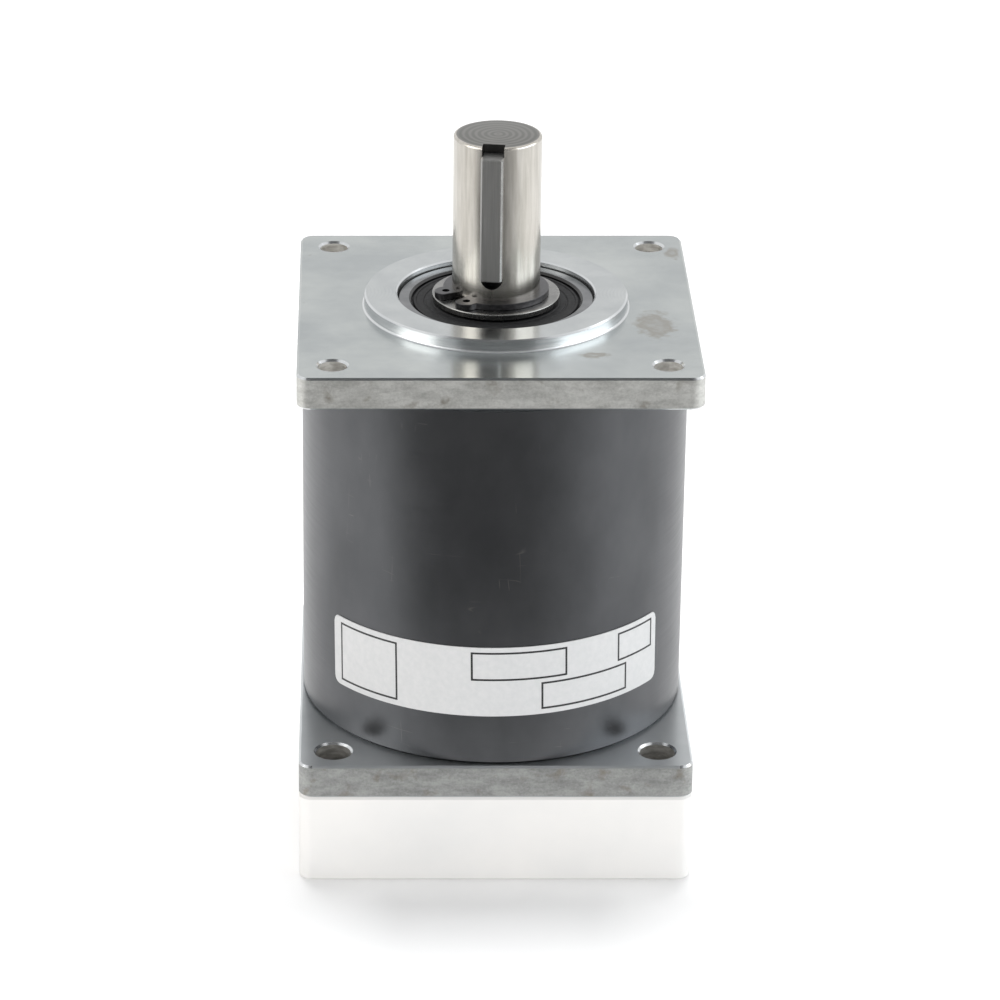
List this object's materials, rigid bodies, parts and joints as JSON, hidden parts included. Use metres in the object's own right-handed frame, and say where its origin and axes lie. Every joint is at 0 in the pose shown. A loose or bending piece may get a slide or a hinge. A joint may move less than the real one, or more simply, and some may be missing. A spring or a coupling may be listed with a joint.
{
  "type": "gear reducer",
  "caption": "Planetary gear reducer: a dark round ring-gear housing between square plates, a pale motor adapter, and a keyed output shaft on the round pilot.",
  "frame": {"origin": "centre of the face that meets the motor", "axes": "+Z along the shafts, from the motor face to the end of the output shaft; -Y is the side with the label; +X is to the right when the label is seen upright"},
  "size_m": [0.0572, 0.0572, 0.1052],
  "materials": {
    "turned_aluminium": "satin, machined",
    "blackened_steel": "dark oxide, satin",
    "pale_block": "white, satin",
    "shaft_steel": "ground",
    "key_steel": "drawn",
    "bearing_steel": "ground, bright",
    "washer_steel": "bright",
    "spring_steel": "dark, tempered",
    "gear_steel": "hobbed, oiled",
    "seal_rubber": "moulded",
    "label_film": "printed film"
  },
  "bodies": {
    "housing": {"output_flange": "turned_aluminium", "ring_gear_housing": "blackened_steel", "input_flange": "turned_aluminium", "motor_adapter": "pale_block", "bearing_outer_ring": "bearing_steel", "bearing_seal": "seal_rubber", "rating_label": "label_film"},
    "output": {"output_shaft": "shaft_steel", "output_key": "key_steel", "bearing_inner_ring": "bearing_steel", "shaft_washer": "washer_steel", "shaft_circlip": "spring_steel"},
    "middle": {"middle_carrier": "gear_steel", "slow_sun_gear": "gear_steel"},
    "fast": {"fast_carrier": "gear_steel", "middle_sun_gear": "gear_steel"},
    "input": {"input_pinion": "gear_steel", "set_screw": "spring_steel"},
    "slow_planet_1": {"slow_planet_1": "gear_steel"},
    "slow_planet_2": {"slow_planet_2": "gear_steel"},
    "slow_planet_3": {"slow_planet_3": "gear_steel"},
    "slow_planet_4": {"slow_planet_4": "gear_steel"},
    "middle_planet_1": {"middle_planet_1": "gear_steel"},
    "middle_planet_2": {"middle_planet_2": "gear_steel"},
    "middle_planet_3": {"middle_planet_3": "gear_steel"},
    "fast_planet_1": {"fast_planet_1": "gear_steel"},
    "fast_planet_2": {"fast_planet_2": "gear_steel"},
    "fast_planet_3": {"fast_planet_3": "gear_steel"}
  },
  "joints": [
    {"name": "output_turn", "type": "hinge", "parent": "housing", "child": "output", "pos_m": [0, 0, 0], "axis": [0, 0, 1], "continuous": true},
    {"name": "middle_turn", "type": "hinge", "parent": "housing", "child": "middle", "pos_m": [0, 0, 0], "axis": [0, 0, 1], "continuous": true},
    {"name": "fast_turn", "type": "hinge", "parent": "housing", "child": "fast", "pos_m": [0, 0, 0], "axis": [0, 0, 1], "continuous": true},
    {"name": "input_turn", "type": "hinge", "parent": "housing", "child": "input", "pos_m": [0, 0, 0], "axis": [0, 0, 1], "continuous": true},
    {"name": "slow_planet_1_spin", "type": "hinge", "parent": "output", "child": "slow_planet_1", "pos_m": [0.0144, 0, 0], "axis": [0, 0, 1], "continuous": true},
    {"name": "slow_planet_2_spin", "type": "hinge", "parent": "output", "child": "slow_planet_2", "pos_m": [0, 0.0144, 0], "axis": [0, 0, 1], "continuous": true},
    {"name": "slow_planet_3_spin", "type": "hinge", "parent": "output", "child": "slow_planet_3", "pos_m": [-0.0144, 0, 0], "axis": [0, 0, 1], "continuous": true},
    {"name": "slow_planet_4_spin", "type": "hinge", "parent": "output", "child": "slow_planet_4", "pos_m": [0, -0.0144, 0], "axis": [0, 0, 1], "continuous": true},
    {"name": "middle_planet_1_spin", "type": "hinge", "parent": "middle", "child": "middle_planet_1", "pos_m": [0.0135, 0, 0], "axis": [0, 0, 1], "continuous": true},
    {"name": "middle_planet_2_spin", "type": "hinge", "parent": "middle", "child": "middle_planet_2", "pos_m": [-0.00675, 0.01169, 0], "axis": [0, 0, 1], "continuous": true},
    {"name": "middle_planet_3_spin", "type": "hinge", "parent": "middle", "child": "middle_planet_3", "pos_m": [-0.00675, -0.01169, 0], "axis": [0, 0, 1], "continuous": true},
    {"name": "fast_planet_1_spin", "type": "hinge", "parent": "fast", "child": "fast_planet_1", "pos_m": [0.0135, 0, 0], "axis": [0, 0, 1], "continuous": true},
    {"name": "fast_planet_2_spin", "type": "hinge", "parent": "fast", "child": "fast_planet_2", "pos_m": [-0.00675, 0.01169, 0], "axis": [0, 0, 1], "continuous": true},
    {"name": "fast_planet_3_spin", "type": "hinge", "parent": "fast", "child": "fast_planet_3", "pos_m": [-0.00675, -0.01169, 0], "axis": [0, 0, 1], "continuous": true}
  ],
  "couplings": [
    {"joint": "middle_turn", "follows": "output_turn", "ratio": 4},
    {"joint": "fast_turn", "follows": "output_turn", "ratio": 20},
    {"joint": "input_turn", "follows": "output_turn", "ratio": 100},
    {"joint": "slow_planet_1_spin", "follows": "output_turn", "ratio": -3},
    {"joint": "slow_planet_2_spin", "follows": "output_turn", "ratio": -3},
    {"joint": "slow_planet_3_spin", "follows": "output_turn", "ratio": -3},
    {"joint": "slow_planet_4_spin", "follows": "output_turn", "ratio": -3},
    {"joint": "middle_planet_1_spin", "follows": "output_turn", "ratio": -10.667},
    {"joint": "middle_planet_2_spin", "follows": "output_turn", "ratio": -10.667},
    {"joint": "middle_planet_3_spin", "follows": "output_turn", "ratio": -10.667},
    {"joint": "fast_planet_1_spin", "follows": "output_turn", "ratio": -53.333},
    {"joint": "fast_planet_2_spin", "follows": "output_turn", "ratio": -53.333},
    {"joint": "fast_planet_3_spin", "follows": "output_turn", "ratio": -53.333}
  ]
}
